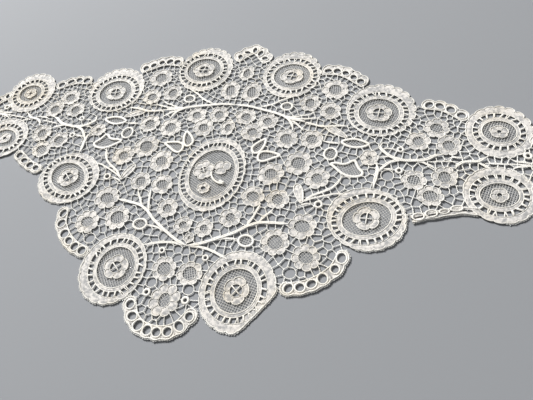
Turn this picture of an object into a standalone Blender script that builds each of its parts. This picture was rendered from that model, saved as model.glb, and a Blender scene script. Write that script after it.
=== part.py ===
"""Bobbin lace edging: a lozenge of part lace with an arm at each side, lying flat.

The lace is made as separate pieces that are sewn edge to edge: round and oval
medallions, scalloped borders pierced with a chain of rings, and between them the
net ground that carries the flowers and leaves. Tables are in millimetres.
X runs along the arms, Y across them and Z up. The origin is the middle of the
centre medallion, on its underside.
"""
import math

import bmesh
import bpy

MM = 0.001

# driving dimensions, in millimetres
PIECE_GAP = 0.3           # air left between neighbouring pieces
GROUND_THICKNESS = 1.0    # net with its flowers
BORDER_THICKNESS = 1.2    # cloth stitch with corded rings
MEDALLION_THICKNESS = 1.4 # cloth stitch with raised cords
FOLD_THICKNESS = 2.0      # border turned under, two layers
SCALLOP_DEPTH = 0.9       # edge lobes of medallions and borders
RING_RADIUS = 1.9         # holes of the border chains
RING_SIDES = 8
CUTTER_SIDES = 40
ARM_SEAM_X = 93.0         # where the arm's ground starts
END_SEAM_X = 154.3        # where the end's ground starts
SEAM_INSET = 4.0          # how far a seam stops short of the medallions' middles
SWAY = -2.3               # the bottom point lies a little off the middle

# one row for each pair of medallions; the mirrored one is made by a loop
MEDALLION_COLUMNS = ("name", "x", "y", "half_width", "half_height", "lobes")
MEDALLION_ROWS = (
    ("top_inner", 30.2, 81.7, 18.7, 20.2, 20),
    ("top_outer", 89.5, 57.6, 20.0, 20.0, 20),
    ("top_arm", 154.3, 49.4, 16.3, 16.9, 18),
    ("bottom_inner", 35.9, -67.1, 18.6, 20.1, 20),
    ("bottom_outer", 91.3, -16.5, 20.8, 19.0, 20),
    ("bottom_arm", 154.3, 7.3, 16.3, 15.3, 18),
)
CENTRE_ROW = ("centre", 0.0, 0.0, 19.5, 25.5, 24)

# borders of the right half, clockwise, so that the free edge is on the left of
# the route; rings are the middles of the holes, reach is from them to the free
# edge and back is from them to the ground
BORDER_COLUMNS = ("name", "start", "end", "reach", "back", "rings")
BORDER_ROWS = (
    ("top", "top_inner", "top_outer", 5.6, 3.2,
     ((53.0, 86.5), (58.8, 86.6), (64.4, 85.3), (69.6, 82.2), (74.0, 79.2))),
    ("arm_top", "top_outer", "top_arm", 4.0, 3.3,
     ((115.3, 63.7), (121.5, 63.6), (127.6, 61.8), (133.9, 58.0))),
    ("end", "top_arm", "bottom_arm", 3.6, 3.2,
     ((172.6, 43.4), (177.8, 38.4), (180.6, 32.0), (180.6, 24.8), (177.8, 18.4), (172.6, 13.6))),
    ("arm_bottom", "bottom_arm", "bottom_outer", 4.0, 3.2,
     ((134.0, -4.6), (128.3, -8.0), (122.5, -10.7), (117.0, -12.3))),
    ("bottom", "bottom_outer", "bottom_inner", 4.0, 3.2,
     ((82.1, -39.6), (80.0, -45.7), (74.7, -52.0), (69.5, -55.5), (64.6, -58.4), (58.8, -59.9))),
)
TOP_POINT = ("top_point", "top_inner", "top_inner", 5.5, 3.4,
             ((-8.7, 94.6), (-4.6, 99.1), (0.0, 101.7), (4.6, 99.1), (8.7, 94.6)))
BOTTOM_POINT = ("bottom_point", "bottom_inner", "bottom_inner", 3.9, 3.4,
                tuple((x + SWAY, y) for x, y in (
                    (16.35, -83.2), (12.9, -88.7), (8.0, -92.4), (2.55, -93.8),
                    (-2.55, -93.8), (-8.0, -92.4), (-12.9, -88.7), (-16.35, -83.2))))
# the right arm's lower border is turned under and shows only its fold
FOLD_REACH = 1.7
FOLD_ROUTE = ((139.0, -4.2), (132.0, -5.5), (125.0, -7.6), (118.5, -9.9), (113.0, -11.8))

# the largest gaps of the net, one row for each mirrored pair
GAP_COLUMNS = ("ground", "x", "y", "width", "height", "sway")
GAP_ROWS = (
    ("centre", 57.8, -52.2, 6.4, 5.6, 0.0),
    ("centre", 10.5, -70.0, 5.6, 5.2, -1.5),
    ("centre", 28.0, -20.2, 5.0, 5.0, 0.0),
    ("centre", 76.5, 5.2, 5.2, 5.0, 0.0),
    ("arm", 98.2, 12.0, 6.2, 6.2, 0.0),
    ("arm", 127.5, 6.2, 5.0, 5.0, 0.0),
)
GAP_CORNER = 0.4

# raised stems that lie on the ground, as routes of the right half
STEM_WIDTH = 1.8
STEM_THICKNESS = 0.8
STEM_TOP = ((0.0, 52.2), (9.0, 52.2), (17.0, 51.3), (25.0, 49.4), (32.0, 47.3),
            (38.0, 45.2), (45.0, 43.6), (54.0, 42.7), (62.0, 42.8), (69.0, 43.6))
STEM_BOTTOM = ((0.0, -47.0), (6.0, -45.2), (12.0, -42.2), (18.0, -38.8), (24.0, -35.2),
               (30.0, -30.4), (36.0, -27.4), (43.0, -26.4), (50.0, -25.8))
STEM_ARM = ((94.8, 31.5), (97.0, 27.4), (101.5, 24.4), (108.0, 23.0), (115.0, 23.6),
            (121.0, 25.8), (128.0, 28.2), (138.0, 30.0))

# the lower right medallion has a stretch of its edge turned under, along this line
TURNED_MEDALLION = "bottom_inner_right"
TURNED_LINE = ((53.5, -64.5), (41.0, -82.5))

SIDES = {"right": 1.0, "left": -1.0}
LACE = {
    "ground": (0.83, 0.80, 0.74),
    "border": (0.86, 0.82, 0.75),
    "medallion": (0.85, 0.82, 0.76),
    "stem": (0.88, 0.84, 0.77),
}


def as_dict(columns, row):
    return dict(zip(columns, row))


def mirrored(points, side):
    """Points of the right half taken to a side, still running clockwise."""
    if side == "right":
        return list(points)
    return [(-x, y) for x, y in reversed(points)]


def material(name):
    lace = bpy.data.materials.get(name)
    if lace is None:
        lace = bpy.data.materials.new(name)
        lace.use_nodes = True
        shader = lace.node_tree.nodes["Principled BSDF"]
        shader.inputs["Base Color"].default_value = (*LACE[name], 1.0)
        shader.inputs["Roughness"].default_value = 0.85
        shader.inputs["Metallic"].default_value = 0.0
    return lace


def flat_curve(name, outline, holes, bottom, top, collection):
    """A flat piece: an outline with its holes, from height bottom to height top."""
    curve = bpy.data.curves.new(name, "CURVE")
    curve.dimensions = "2D"
    curve.fill_mode = "BOTH"
    curve.extrude = (top - bottom) * MM / 2
    for loop in [outline, *holes]:
        spline = curve.splines.new("POLY")
        spline.points.add(len(loop) - 1)
        for point, (x, y) in zip(spline.points, loop):
            point.co = (x * MM, y * MM, 0.0, 1.0)
        spline.use_cyclic_u = True
    piece = bpy.data.objects.new(name, curve)
    piece.location.z = (bottom + top) * MM / 2
    collection.objects.link(piece)
    return piece


def as_mesh(piece):
    """Turn a flat curve into a closed mesh, so that it can cut or be cut."""
    bpy.context.view_layer.update()
    evaluated = piece.evaluated_get(bpy.context.evaluated_depsgraph_get())
    mesh = bpy.data.meshes.new_from_object(evaluated)
    shape = bmesh.new()
    shape.from_mesh(mesh)
    bmesh.ops.remove_doubles(shape, verts=shape.verts, dist=0.01 * MM)
    shape.to_mesh(mesh)
    shape.free()
    name = piece.name
    solid = bpy.data.objects.new(name, mesh)
    solid.matrix_world = piece.matrix_world
    for collection in piece.users_collection:
        collection.objects.link(solid)
    bpy.data.objects.remove(piece)
    solid.name = name
    return solid


def cutter(name, outline, cutters):
    """A tall prism that clears room for a neighbour."""
    tool = as_mesh(flat_curve(name, outline, [], -1.0, FOLD_THICKNESS + 1.0, cutters))
    tool.hide_render = True
    tool.display_type = "WIRE"
    return tool


def cut(piece, tools):
    for tool in tools:
        boolean = piece.modifiers.new(tool.name, "BOOLEAN")
        boolean.operation = "DIFFERENCE"
        boolean.solver = "EXACT"
        boolean.object = tool


def ellipse(x, y, half_width, half_height, sides):
    turns = (2 * math.pi * k / sides for k in range(sides))
    return [(x + half_width * math.cos(a), y + half_height * math.sin(a)) for a in turns]


def scalloped_ellipse(x, y, half_width, half_height, lobes):
    """Each lobe has a broad crown of two points and one point in the notch."""
    outline = []
    for k in range(3 * lobes):
        angle = 2 * math.pi * (k + 0.5) / (3 * lobes)
        depth = SCALLOP_DEPTH if k % 3 == 0 else 0.0
        outline.append((x + (half_width - depth) * math.cos(angle),
                        y + (half_height - depth) * math.sin(angle)))
    return outline


def turned_under(outline, line):
    """Points past the line are brought back onto it; the line runs clockwise."""
    (ax, ay), (bx, by) = line
    tx, ty = unit(bx - ax, by - ay)
    turned = []
    for x, y in outline:
        past = max(0.0, (y - ay) * tx - (x - ax) * ty)
        turned.append((x + ty * past, y - tx * past))
    return turned


def unit(dx, dy):
    length = math.hypot(dx, dy)
    return dx / length, dy / length


def stretch(points, amount):
    """The route with a point added past each end."""
    (ax, ay), (bx, by) = points[0], points[1]
    (cx, cy), (dx, dy) = points[-2], points[-1]
    sx, sy = unit(ax - bx, ay - by)
    ex, ey = unit(dx - cx, dy - cy)
    return [(ax + sx * amount, ay + sy * amount), *points, (dx + ex * amount, dy + ey * amount)]


def normal_at(route, k):
    """Towards the free edge, which is on the left of the route."""
    (ax, ay) = route[max(k - 1, 0)]
    (bx, by) = route[min(k + 1, len(route) - 1)]
    tx, ty = unit(bx - ax, by - ay)
    return -ty, tx


def strip_outline(route, reach, back, scalloped):
    """A strip along a route: lobes on its free edge, a plain edge to the ground."""
    free_edge = []
    ground_edge = []
    for k, (x, y) in enumerate(route):
        nx, ny = normal_at(route, k)
        ground_edge.append((x - nx * back, y - ny * back))
        inner_lobe = scalloped and 0 < k < len(route) - 1
        if not inner_lobe:
            free_edge.append((x + nx * reach, y + ny * reach))
            continue
        for step in (-0.5, -0.2, 0.2):
            (ox, oy) = route[k - 1] if step < 0 else route[k + 1]
            px = x + (ox - x) * abs(step)
            py = y + (oy - y) * abs(step)
            out = reach - SCALLOP_DEPTH if step == -0.5 else reach
            free_edge.append((px + nx * out, py + ny * out))
    return free_edge + ground_edge[::-1]


def rounded_rectangle(x, y, width, height):
    w, h, c = width / 2, height / 2, GAP_CORNER
    corners = ((w, h - c), (w - c, h), (c - w, h), (-w, h - c),
               (-w, c - h), (c - w, -h), (w - c, -h), (w, c - h))
    return [(x + dx, y + dy) for dx, dy in corners]


def gap_cutters(ground, sides, cutters):
    tools = []
    for number, row in enumerate(GAP_ROWS):
        g = as_dict(GAP_COLUMNS, row)
        if g["ground"] != ground:
            continue
        for side in sides:
            x = g["x"] * SIDES[side] + g["sway"]
            outline = rounded_rectangle(x, g["y"], g["width"], g["height"])
            tools.append(cutter(f"gap_{number}_{side}", outline, cutters))
    return tools


def make_medallions(parts, cutters):
    """All medallions; the returned cutters are keyed by name and side."""
    tools = {}
    places = [(CENTRE_ROW, "", 1.0)]
    places += [(row, "_" + side, sign) for row in MEDALLION_ROWS for side, sign in SIDES.items()]
    for row, suffix, sign in places:
        m = as_dict(MEDALLION_COLUMNS, row)
        name = m["name"] + suffix
        x = m["x"] * sign
        outline = scalloped_ellipse(x, m["y"], m["half_width"], m["half_height"], m["lobes"])
        if name == TURNED_MEDALLION:
            outline = turned_under(outline, TURNED_LINE)
        piece = flat_curve("medallion_" + name, outline, [], 0.0, MEDALLION_THICKNESS, parts)
        piece.data.materials.append(material("medallion"))
        room = PIECE_GAP + 0.1
        tools[name] = cutter("room_" + name, ellipse(x, m["y"], m["half_width"] + room,
                                                     m["half_height"] + room, CUTTER_SIDES), cutters)
    return tools


def make_border(name, ends, route, reach, back, pierced, tools, parts, cutters):
    """One border between two medallions; returns the cutter that clears the ground."""
    long_route = stretch(route, 6.0)
    holes = [ellipse(x, y, RING_RADIUS, RING_RADIUS, RING_SIDES) for x, y in route] if pierced else []
    thickness = BORDER_THICKNESS if pierced else FOLD_THICKNESS
    outline = strip_outline(long_route, reach, back, pierced)
    piece = as_mesh(flat_curve("border_" + name, outline, holes, 0.0, thickness, parts))
    piece.data.materials.append(material("border"))
    cut(piece, [tools[end] for end in ends])
    wide = strip_outline(long_route, reach + PIECE_GAP, back + PIECE_GAP, False)
    return cutter("room_border_" + name, wide, cutters)


def make_borders(tools, parts, cutters):
    routes = {}
    for side in SIDES:
        for row in BORDER_ROWS:
            b = as_dict(BORDER_COLUMNS, row)
            name = b["name"] + "_" + side
            folded = name == "arm_bottom_right"
            route = list(FOLD_ROUTE) if folded else mirrored(b["rings"], side)
            reach, back = (FOLD_REACH, FOLD_REACH) if folded else (b["reach"], b["back"])
            ends = (b["start"] + "_" + side, b["end"] + "_" + side)
            tools[name] = make_border(name, ends, route, reach, back, not folded,
                                      tools, parts, cutters)
            routes[name] = route
    for row in (TOP_POINT, BOTTOM_POINT):
        b = as_dict(BORDER_COLUMNS, row)
        ends = (b["start"] + "_left", b["end"] + "_right")
        tools[b["name"]] = make_border(b["name"], ends, b["rings"], b["reach"], b["back"], True,
                                       tools, parts, cutters)
        routes[b["name"]] = list(b["rings"])
    return routes


def make_ground(name, outline, neighbours, gaps, tools, parts):
    piece = as_mesh(flat_curve("ground_" + name, outline, [], 0.0, GROUND_THICKNESS, parts))
    piece.data.materials.append(material("ground"))
    cut(piece, [tools[neighbour] for neighbour in neighbours] + gaps)


def seam(x, top, bottom):
    """The straight join of two grounds, between two medallions of one pair."""
    return [(x, top - SEAM_INSET), (x, bottom + SEAM_INSET)]


def make_grounds(routes, tools, parts, cutters):
    """Each ground runs through the middles of its neighbours, which then clear their room."""
    middle = {row[0]: (row[1], row[2]) for row in MEDALLION_ROWS}
    outer_pair = (middle["top_outer"][1], middle["bottom_outer"][1])
    arm_pair = (middle["top_arm"][1], middle["bottom_arm"][1])
    half = [middle["top_inner"], *routes["top_right"], middle["top_outer"],
            *seam(ARM_SEAM_X, *outer_pair), middle["bottom_outer"],
            *routes["bottom_right"], middle["bottom_inner"]]
    outline = [*half, *routes["bottom_point"], *mirrored(half, "left"), *routes["top_point"]]
    around = ["centre", "top_point", "bottom_point"]
    around += [part + "_" + side for side in SIDES
               for part in ("top_inner", "top", "top_outer", "bottom_outer", "bottom", "bottom_inner")]
    make_ground("centre", outline, around, gap_cutters("centre", SIDES, cutters), tools, parts)
    for side in SIDES:
        arm_top = mirrored(routes["arm_top_" + side], side)
        arm_bottom = mirrored(routes["arm_bottom_" + side], side)
        arm = [*arm_top, *seam(END_SEAM_X, *arm_pair), *arm_bottom,
               *reversed(seam(ARM_SEAM_X + PIECE_GAP, *outer_pair))]
        around = [part + "_" + side for part in ("top_outer", "arm_top", "top_arm", "bottom_arm",
                                                 "arm_bottom", "bottom_outer")]
        make_ground("arm_" + side, mirrored(arm, side), around,
                    gap_cutters("arm", (side,), cutters), tools, parts)
        end = [*mirrored(routes["end_" + side], side),
               *reversed(seam(END_SEAM_X + PIECE_GAP, *arm_pair))]
        around = [part + "_" + side for part in ("top_arm", "end", "bottom_arm")]
        make_ground("end_" + side, mirrored(end, side), around, [], tools, parts)


def make_stems(parts):
    """Cords of cloth stitch that lie on the ground, clear of the medallions."""
    whole = {name: [*mirrored(half[1:], "left"), *half]
             for name, half in (("top", STEM_TOP), ("bottom", STEM_BOTTOM))}
    arms = {"arm_" + side: mirrored(STEM_ARM, side) for side in SIDES}
    base = GROUND_THICKNESS + PIECE_GAP
    for name, route in (whole | arms).items():
        outline = strip_outline(route, STEM_WIDTH / 2, STEM_WIDTH / 2, False)
        piece = flat_curve("stem_" + name, outline, [], base, base + STEM_THICKNESS, parts)
        piece.data.materials.append(material("stem"))


def main():
    for thing in list(bpy.data.objects):
        bpy.data.objects.remove(thing)
    parts = bpy.data.collections.new("bobbin_lace_edging")
    cutters = bpy.data.collections.new("cutters")
    bpy.context.scene.collection.children.link(parts)
    bpy.context.scene.collection.children.link(cutters)
    tools = make_medallions(parts, cutters)
    routes = make_borders(tools, parts, cutters)
    make_grounds(routes, tools, parts, cutters)
    make_stems(parts)


main()
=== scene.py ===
"""The look of the bobbin lace edging: threads, cloth stitch, cords and net.

Tables are in millimetres, in the shared frame: X along the arms, Y across, Z up, and the
origin is the middle of the centre medallion. Left copies are mirrored by loops.
"""

import math
from collections import namedtuple

import bpy
import numpy as np
from mathutils import Matrix, Vector
from mathutils.geometry import delaunay_2d_cdt


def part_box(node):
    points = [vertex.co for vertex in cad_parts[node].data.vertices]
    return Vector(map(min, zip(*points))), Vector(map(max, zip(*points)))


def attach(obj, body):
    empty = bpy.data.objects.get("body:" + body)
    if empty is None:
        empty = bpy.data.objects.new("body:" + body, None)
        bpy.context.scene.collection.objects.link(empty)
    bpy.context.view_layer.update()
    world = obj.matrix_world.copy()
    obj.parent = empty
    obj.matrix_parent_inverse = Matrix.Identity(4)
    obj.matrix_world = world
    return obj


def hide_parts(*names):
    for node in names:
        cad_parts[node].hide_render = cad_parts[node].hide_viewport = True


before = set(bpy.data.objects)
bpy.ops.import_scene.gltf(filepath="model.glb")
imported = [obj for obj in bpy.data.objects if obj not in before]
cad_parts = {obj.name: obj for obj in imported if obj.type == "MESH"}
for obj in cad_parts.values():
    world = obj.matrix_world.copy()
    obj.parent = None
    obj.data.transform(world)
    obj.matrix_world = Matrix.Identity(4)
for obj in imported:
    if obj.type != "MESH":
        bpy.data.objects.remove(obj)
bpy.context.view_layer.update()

MM = 0.001
TURN = 2 * math.pi
SIDES = {"right": 1.0, "left": -1.0}
CLOTH, CORD, THREAD, MESH = 0, 1, 2, 3
TINY = 1e-9
BACKWARDS = [0, 3, 2, 1]

# camera, found from the symmetry of the lace: heights and places in millimetres
PHOTO_WIDTH = 533
FOCAL_PIXELS = 450.0
CAMERA_HEIGHT = 211.2
CAMERA_FOOT = (98.9, -127.0)
CAMERA_PITCH = math.radians(58.27)
CAMERA_ROLL = math.radians(-17.40)
CAMERA_HEADING = math.radians(-28.78)
SENSOR_WIDTH = 36.0

# patterns of the thread materials, in millimetres
TWIST_PITCH = 0.9
TWIST_AROUND = 0.75
WEAVE_PITCH = 0.5
AGED_PLACE = (-155.0, 46.0)
AGED_REACH = 18.0
YELLOWED = (1.0, 0.9, 0.72, 1.0)

# threads and cloth, radii and heights in millimetres
LATTICE_PITCH = 1.3
LATTICE_RADIUS = 0.115
FLOWER_LATTICE_RADIUS = 0.125
LATTICE_HEIGHT = 0.42
LATTICE_WAVE = 0.09
LATTICE_UNEVEN = 0.05
LATTICE_SHIFT = 0.03
BAR_RADIUS = 0.165
BAR_HEIGHT = 0.5
BAR_TWIST = 2.0
LOWEST = 0.02
CLOTH_HEIGHT = 0.55
CLOTH_THICKNESS = 0.35
CLOTH_LOWEST = 0.05
FINE_SCALE = (0.6, 0.6)
CORD_RADIUS = 0.36
CORD_HEIGHT = 0.66
STEM_HEIGHT = 1.05
PICOT_PITCH = 1.15
PICOT_REACH = 0.9
PICOT_RADIUS = 0.2
PICOT_LEAST = 0.3

# round medallions, as the CAD names them: middle, half sizes of the ring of windows, their
# number, half sizes of the mesh in it and of the flower, the flower's eye, scallops
Medallion = namedtuple(
    "Medallion", "name x y ring_w ring_h windows mesh_w mesh_h flower_w flower_h eye lobes")
MEDALLIONS = [Medallion(*row) for row in (
    ("top_inner", 30.5, 80.3, 15.3, 14.3, 27, 12.1, 10.8, 7.5, 6.9, 3.5, 20),
    ("top_outer", 88.6, 55.0, 15.8, 14.6, 27, 11.8, 11.1, 7.6, 6.8, 3.5, 20),
    ("top_arm", 153.8, 48.3, 12.1, 11.6, 21, 8.9, 7.8, 4.7, 4.5, 1.2, 18),
    ("bottom_inner", 33.5, -66.0, 14.2, 15.4, 26, 10.9, 11.8, 7.0, 7.2, 3.3, 20),
    ("bottom_outer", 90.8, -15.9, 16.8, 13.3, 28, 12.9, 9.7, 7.2, 6.7, 3.3, 20),
    ("bottom_arm", 153.9, 7.5, 12.8, 10.9, 20, 9.5, 7.2, 4.6, 4.3, 1.3, 18),
)]
CENTRE = Medallion("centre", 0.0, -0.4, 17.3, 20.9, 40, 13.8, 16.9, 0.0, 0.0, 0.0, 24)
# the two halves of the lace are not quite alike
MEDALLION_SHIFTS = {"top_inner_left": (-0.8, 0.4), "top_outer_left": (-0.3, -0.2),
                    "top_arm_left": (-2.0, -0.5), "bottom_inner_left": (-1.4, 0.4),
                    "bottom_outer_left": (-0.3, 0.4)}
# how far some outlines lie from the CAD's: across, up, and in half size
OUTLINE_SHIFTS = {"bottom_inner_right": (-1.5, 1.2, 1.2), "bottom_inner_left": (-0.6, 0.9, 0.0),
                  "top_arm_right": (-0.3, -0.8, 1.1), "bottom_arm_right": (-0.3, 0.7, 1.1),
                  "top_arm_left": (-0.9, -0.6, 1.3), "bottom_arm_left": (-0.2, 0.6, 1.0),
                  "bottom_outer_right": (-0.8, 0.7, -0.8), "bottom_outer_left": (0.8, 0.7, -0.8)}
# degrees that the ovals of the right half are tilted by; the left half mirrors them
MEDALLION_TILTS = {"bottom_inner": -15.0, "bottom_outer": 25.0, "bottom_arm": 12.0}
TURNED_MEDALLION = "bottom_inner_right"
TURNED_LINE = ((53.0, -64.8), (40.6, -84.6))
TURNED_ROUNDING = 0.9
TURNED_LAYER = ((49.6, -67.8), (46.6, -72.4), (43.4, -77.4), (40.6, -81.6))
TURNED_LAYER_HALF = 2.6
TOP_SCALLOP = 2.1
LOW_SCALLOP = 0.9
INNER_SCALLOP = 0.45
LACE_MIDDLE = 12.0
LOBE_POINTS = 9
PICOT_TURN = 0.15
RING_POINTS = 96
MEDALLION_PETALS = 5
MEDALLION_NOTCH = 0.16
WINDOW_HALF = 1.55
WINDOW_BAR = 0.165
DOUBLE_BARS = 0.3

# borders of the right half, clockwise, free edge on the left of the route: half widths towards
# the free edge and the ground, depth of a scallop, half sizes of a hole, middles of the rings
Border = namedtuple("Border", "name reach back scallop hole_w hole_h rings")
BORDERS = [Border(*row) for row in (
    ("top", 5.3, 3.2, 1.5, 2.35, 2.15,
     ((53.2, 86.2), (59.0, 86.4), (64.6, 85.0), (70.0, 81.9), (74.8, 78.8))),
    ("arm_top", 4.0, 3.3, 1.4, 2.6, 2.1,
     ((116.3, 63.7), (122.3, 63.5), (128.3, 61.4), (134.2, 57.8))),
    ("end", 3.6, 3.2, 0.9, 2.4, 2.0,
     ((172.6, 43.4), (177.8, 38.4), (180.6, 32.0), (180.6, 24.8), (177.8, 18.4), (172.6, 13.6))),
    ("arm_bottom", 3.3, 2.9, 0.8, 2.35, 2.0,
     ((134.0, -4.6), (128.3, -8.0), (122.5, -10.7), (117.0, -12.3))),
    ("bottom", 3.5, 2.9, 0.8, 2.5, 2.25,
     ((81.8, -39.9), (79.6, -46.3), (74.5, -52.2), (69.7, -55.9), (64.5, -58.6), (59.0, -60.1))),
)]
TOP_POINT = Border("top_point", 5.5, 3.4, 1.5, 1.55, 2.4,
                   ((-8.7, 94.6), (-4.6, 99.1), (0.0, 101.7), (4.6, 99.1), (8.7, 94.6)))
SWAY = -2.3
BOTTOM_POINT = Border("bottom_point", 3.6, 3.1, 0.9, 2.15, 2.4, tuple((x + SWAY, y) for x, y in (
    (16.35, -83.2), (12.9, -88.7), (8.0, -92.4), (2.55, -93.8),
    (-2.55, -93.8), (-8.0, -92.4), (-12.9, -88.7), (-16.35, -83.2))))
END_HALF = 4.0
BORDER_FURTHEST = 9.0
BORDER_HALVINGS = 14
EDGE_SPACING = 0.6
FINE_EDGES = ("bottom", "bottom_point", "arm_bottom")
TURNED_BORDER = "arm_bottom_right"
FOLD_ROUTE = ((143.9, -3.9), (140.3, -4.1), (133.8, -5.0), (128.0, -7.3), (122.0, -9.3),
              (116.0, -11.7), (112.8, -13.2))
FOLD_RINGS = ((134.0, -3.6, 2.9, 1.5), (128.2, -6.2, 2.4, 1.3), (122.1, -8.4, 2.9, 2.0),
              (116.0, -11.2, 2.9, 2.0))
ARM_SEAM_X = 93.0
END_SEAM_X = 154.3

# flowers: middle, half sizes, petals, half sizes of the mesh in the middle, first petal's angle
Flower = namedtuple("Flower", "x y half_w half_h petals core_w core_h angle")
NOTCH = 0.21
PETAL_POINTS = 12
PETAL_ROWS = 6
PETAL_ROUND = 0.42
PETAL_CROWN = 0.16
PETAL_UNEVEN = 0.035
CLOTH_SHARE = 0.97
RIB_RADIUS = 0.16
FLOWER_PAIRS = (
    (60.2, 71.0, 8.2, 8.2, 7, 4.1, 4.1, 90),
    (60.2, 53.5, 6.7, 6.5, 6, 3.3, 3.2, 30),
    (46.7, 58.4, 6.5, 6.8, 6, 3.1, 3.7, 0),
    (7.3, 64.2, 6.4, 8.3, 6, 3.2, 4.6, 90),
    (121.4, 47.2, 7.3, 6.9, 7, 3.6, 3.3, 90),
    (112.2, 36.8, 6.7, 6.5, 6, 3.2, 3.3, 10),
    (128.4, 35.8, 6.9, 6.9, 7, 3.4, 3.4, 40),
    (112.0, 10.9, 6.7, 6.4, 6, 3.5, 3.2, 0),
    (127.3, 14.7, 7.0, 6.9, 7, 3.3, 3.6, 20),
    (120.9, 2.2, 6.8, 6.4, 7, 3.8, 3.3, 50),
    (23.6, 41.4, 6.4, 6.3, 6, 3.0, 3.0, 20),
    (9.0, 43.5, 6.5, 6.4, 6, 3.1, 3.1, 50),
    (16.0, 32.2, 7.0, 6.9, 7, 3.3, 3.1, 80),
    (53.0, 31.2, 6.8, 6.9, 7, 3.4, 3.4, 70),
    (37.8, 29.8, 7.2, 7.3, 7, 3.6, 3.7, 90),
    (48.6, 13.6, 8.3, 8.2, 8, 4.3, 4.1, 10),
    (34.6, 4.2, 7.8, 7.7, 7, 3.7, 3.5, 60),
    (61.0, 4.8, 7.2, 7.1, 6, 3.3, 3.3, 30),
    (42.2, -11.6, 6.5, 6.5, 6, 3.3, 3.4, 60),
    (28.0, -11.8, 6.9, 6.7, 6, 3.7, 3.2, 0),
    (19.0, -26.6, 6.3, 6.3, 6, 2.7, 2.7, 90),
    (6.2, -35.4, 5.4, 5.4, 6, 2.3, 2.3, 30),
    (87.2, 22.2, 5.3, 5.2, 6, 1.8, 1.8, 0),
    (58.8, -25.7, 7.8, 7.8, 7, 4.3, 3.6, 20),
    (46.8, -37.0, 7.5, 8.0, 8, 4.2, 4.2, 45),
    (64.2, -42.6, 7.7, 7.4, 8, 3.9, 3.4, 15),
)
FLOWER_SINGLES = (
    (-0.3, 34.0, 4.6, 6.3, 5, 2.0, 2.9, 90),
    (-0.3, 80.2, 5.1, 6.9, 5, 2.4, 3.9, 270),
    (-0.2, -42.3, 2.9, 3.3, 5, 0.9, 1.1, 270),
    (6.8, -61.6, 6.9, 6.9, 7, 3.8, 3.8, 50),
    (-7.8, -61.6, 6.9, 6.9, 7, 3.8, 3.8, 130),
    (-1.6, -77.7, 8.4, 8.9, 8, 3.1, 3.9, 250),
)
END_FLOWER = (172.4, 27.6, 3.8, 3.8, 5, 1.5, 1.5, 0)

# leaves: the middle line of the thick rim round each mesh leaf
MESH_LEAVES = (
    ((25.7, 27.9), (23.4, 26.4), (20.7, 23.6), (19.2, 20.7), (19.9, 18.2), (21.6, 17.0),
     (23.9, 17.9), (25.5, 21.0), (26.2, 24.4)),
    ((24.2, 15.5), (25.3, 18.1), (28.5, 19.1), (32.5, 18.8), (36.8, 17.4), (33.6, 15.2),
     (30.0, 12.9), (27.0, 11.8), (24.9, 12.7)),
    ((67.2, 15.4), (70.3, 12.7), (73.8, 10.1), (77.5, 8.7), (81.5, 8.7), (84.6, 10.1),
     (84.9, 12.1), (82.7, 14.4), (81.2, 16.9), (79.9, 19.1), (78.0, 18.6), (76.0, 16.8),
     (73.0, 16.0), (70.0, 16.4)),
    ((70.6, 31.3), (73.6, 33.3), (78.0, 34.1), (82.4, 33.2), (85.8, 31.4), (82.6, 29.2),
     (78.0, 28.3), (73.6, 29.2)),
)
RIM_HEIGHT = 0.66
LEAF_RIM = 0.82
LEAF_CROWN = 0.22
BERRY_RIM = 0.7
Leaf = namedtuple("Leaf", "x y half_length half_width angle")
CLOTH_LEAVES = ((53.2, -6.4, 6.4, 2.3, -66), (66.6, 38.1, 7.4, 2.1, -27))
# berries are small mesh ovals, rings are cords round a hole
BERRY_PAIRS = ((32.9, 54.3, 4.2, 3.6), (65.6, 22.2, 4.3, 4.8), (31.3, -38.9, 4.7, 3.9))
RING_PAIRS = ((64.9, -11.6, 1.1, 0.75), (12.6, -52.0, 0.75, 0.65), (104.0, 15.8, 0.85, 0.7),
              (103.4, 29.8, 0.75, 0.7), (167.6, 33.6, 0.85, 0.8))
LOW_RINGS = ((9.4, -75.8, 0.85, 0.75), (-12.4, -75.6, 0.85, 0.75))

# the gaps that the CAD leaves open, each edged with a thin cord: middle, half sizes, sway
GAP_PAIRS = ((57.8, -52.2, 3.2, 2.8, 0.0), (10.5, -70.0, 2.8, 2.6, -1.5),
             (28.0, -20.2, 2.5, 2.5, 0.0), (76.5, 5.2, 2.6, 2.5, 0.0), (98.2, 12.0, 3.1, 3.1, 0.0),
             (127.5, 6.2, 2.5, 2.5, 0.0), (7.1, 33.6, 2.0, 2.2, 0.0))
GAP_CORD = 0.27

# the spray in the oval medallion
SPRAY_FLOWERS = ((-5.8, 1.4, 6.1, 6.9, 6, 2.1, 2.1, 90), (-2.1, -10.8, 4.0, 3.5, 6, 1.6, 1.3, 30),
                 (4.9, 4.6, 5.2, 5.0, 3, 0.4, 0.4, 32))
SPRAY_STEMS = (
    (1.3, ((-0.4, 0.0), (0.4, -2.0), (2.1, -4.2), (4.6, -5.8), (7.0, -6.4), (9.4, -6.1))),
    (1.7, ((6.0, -4.7), (7.4, -5.3), (9.0, -6.0))))

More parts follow.
